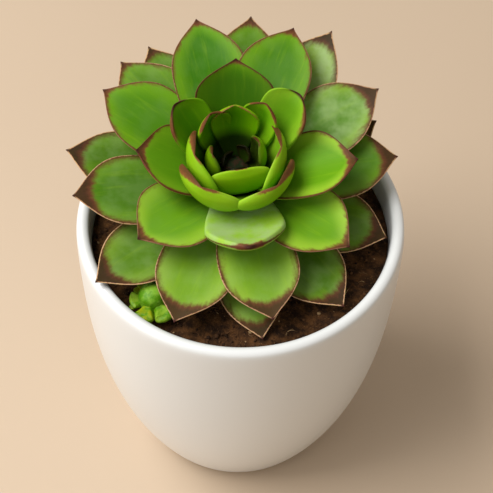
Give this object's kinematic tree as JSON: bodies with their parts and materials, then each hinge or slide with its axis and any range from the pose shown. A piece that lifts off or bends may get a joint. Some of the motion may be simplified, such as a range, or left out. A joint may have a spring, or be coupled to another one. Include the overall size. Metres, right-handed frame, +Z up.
{
  "type": "potted succulent",
  "caption": "Rosette houseleek with fleshy pointed leaves and a small offset, growing in soil in a smooth glazed egg-shaped pot with a rounded lip.",
  "frame": {"origin": "middle of the pot's flat foot, on the surface that it stands on", "axes": "+Z up along the pot's axis; the rosette leans 12 degrees towards -Y, its front"},
  "size_m": [0.1078, 0.1159, 0.1469],
  "materials": {
    "glaze": "off-white satin glaze",
    "soil": "loose dark peat soil",
    "stem": "pale green flesh, matte",
    "leaf": "fleshy green with purple-brown tips and margins, satin",
    "offset": "bright green young leaves, satin"
  },
  "bodies": {
    "root": {"pot": "glaze", "soil": "soil", "stem": "stem", "leaf_01": "leaf", "leaf_02": "leaf", "leaf_03": "leaf", "leaf_04": "leaf", "leaf_05": "leaf", "leaf_06": "leaf", "leaf_07": "leaf", "leaf_08": "leaf", "leaf_09": "leaf", "leaf_10": "leaf", "leaf_11": "leaf", "leaf_12": "leaf", "leaf_13": "leaf", "leaf_14": "leaf", "leaf_15": "leaf", "leaf_16": "leaf", "leaf_17": "leaf", "leaf_18": "leaf", "leaf_19": "leaf", "leaf_20": "leaf", "leaf_21": "leaf", "leaf_22": "leaf", "leaf_23": "leaf", "leaf_24": "leaf", "leaf_25": "leaf", "leaf_26": "leaf", "leaf_27": "leaf", "leaf_28": "leaf", "leaf_29": "leaf", "leaf_30": "leaf", "leaf_31": "leaf", "leaf_32": "leaf", "leaf_33": "leaf", "leaf_34": "leaf", "leaf_35": "leaf", "leaf_36": "leaf", "leaf_37": "leaf", "leaf_38": "leaf", "leaf_39": "leaf", "offset_bud": "offset", "offset_leaf_01": "offset", "offset_leaf_02": "offset", "offset_leaf_03": "offset", "offset_leaf_04": "offset", "offset_leaf_05": "offset", "offset_leaf_06": "offset", "offset_leaf_07": "offset", "offset_leaf_08": "offset"}
  },
  "joints": []
}
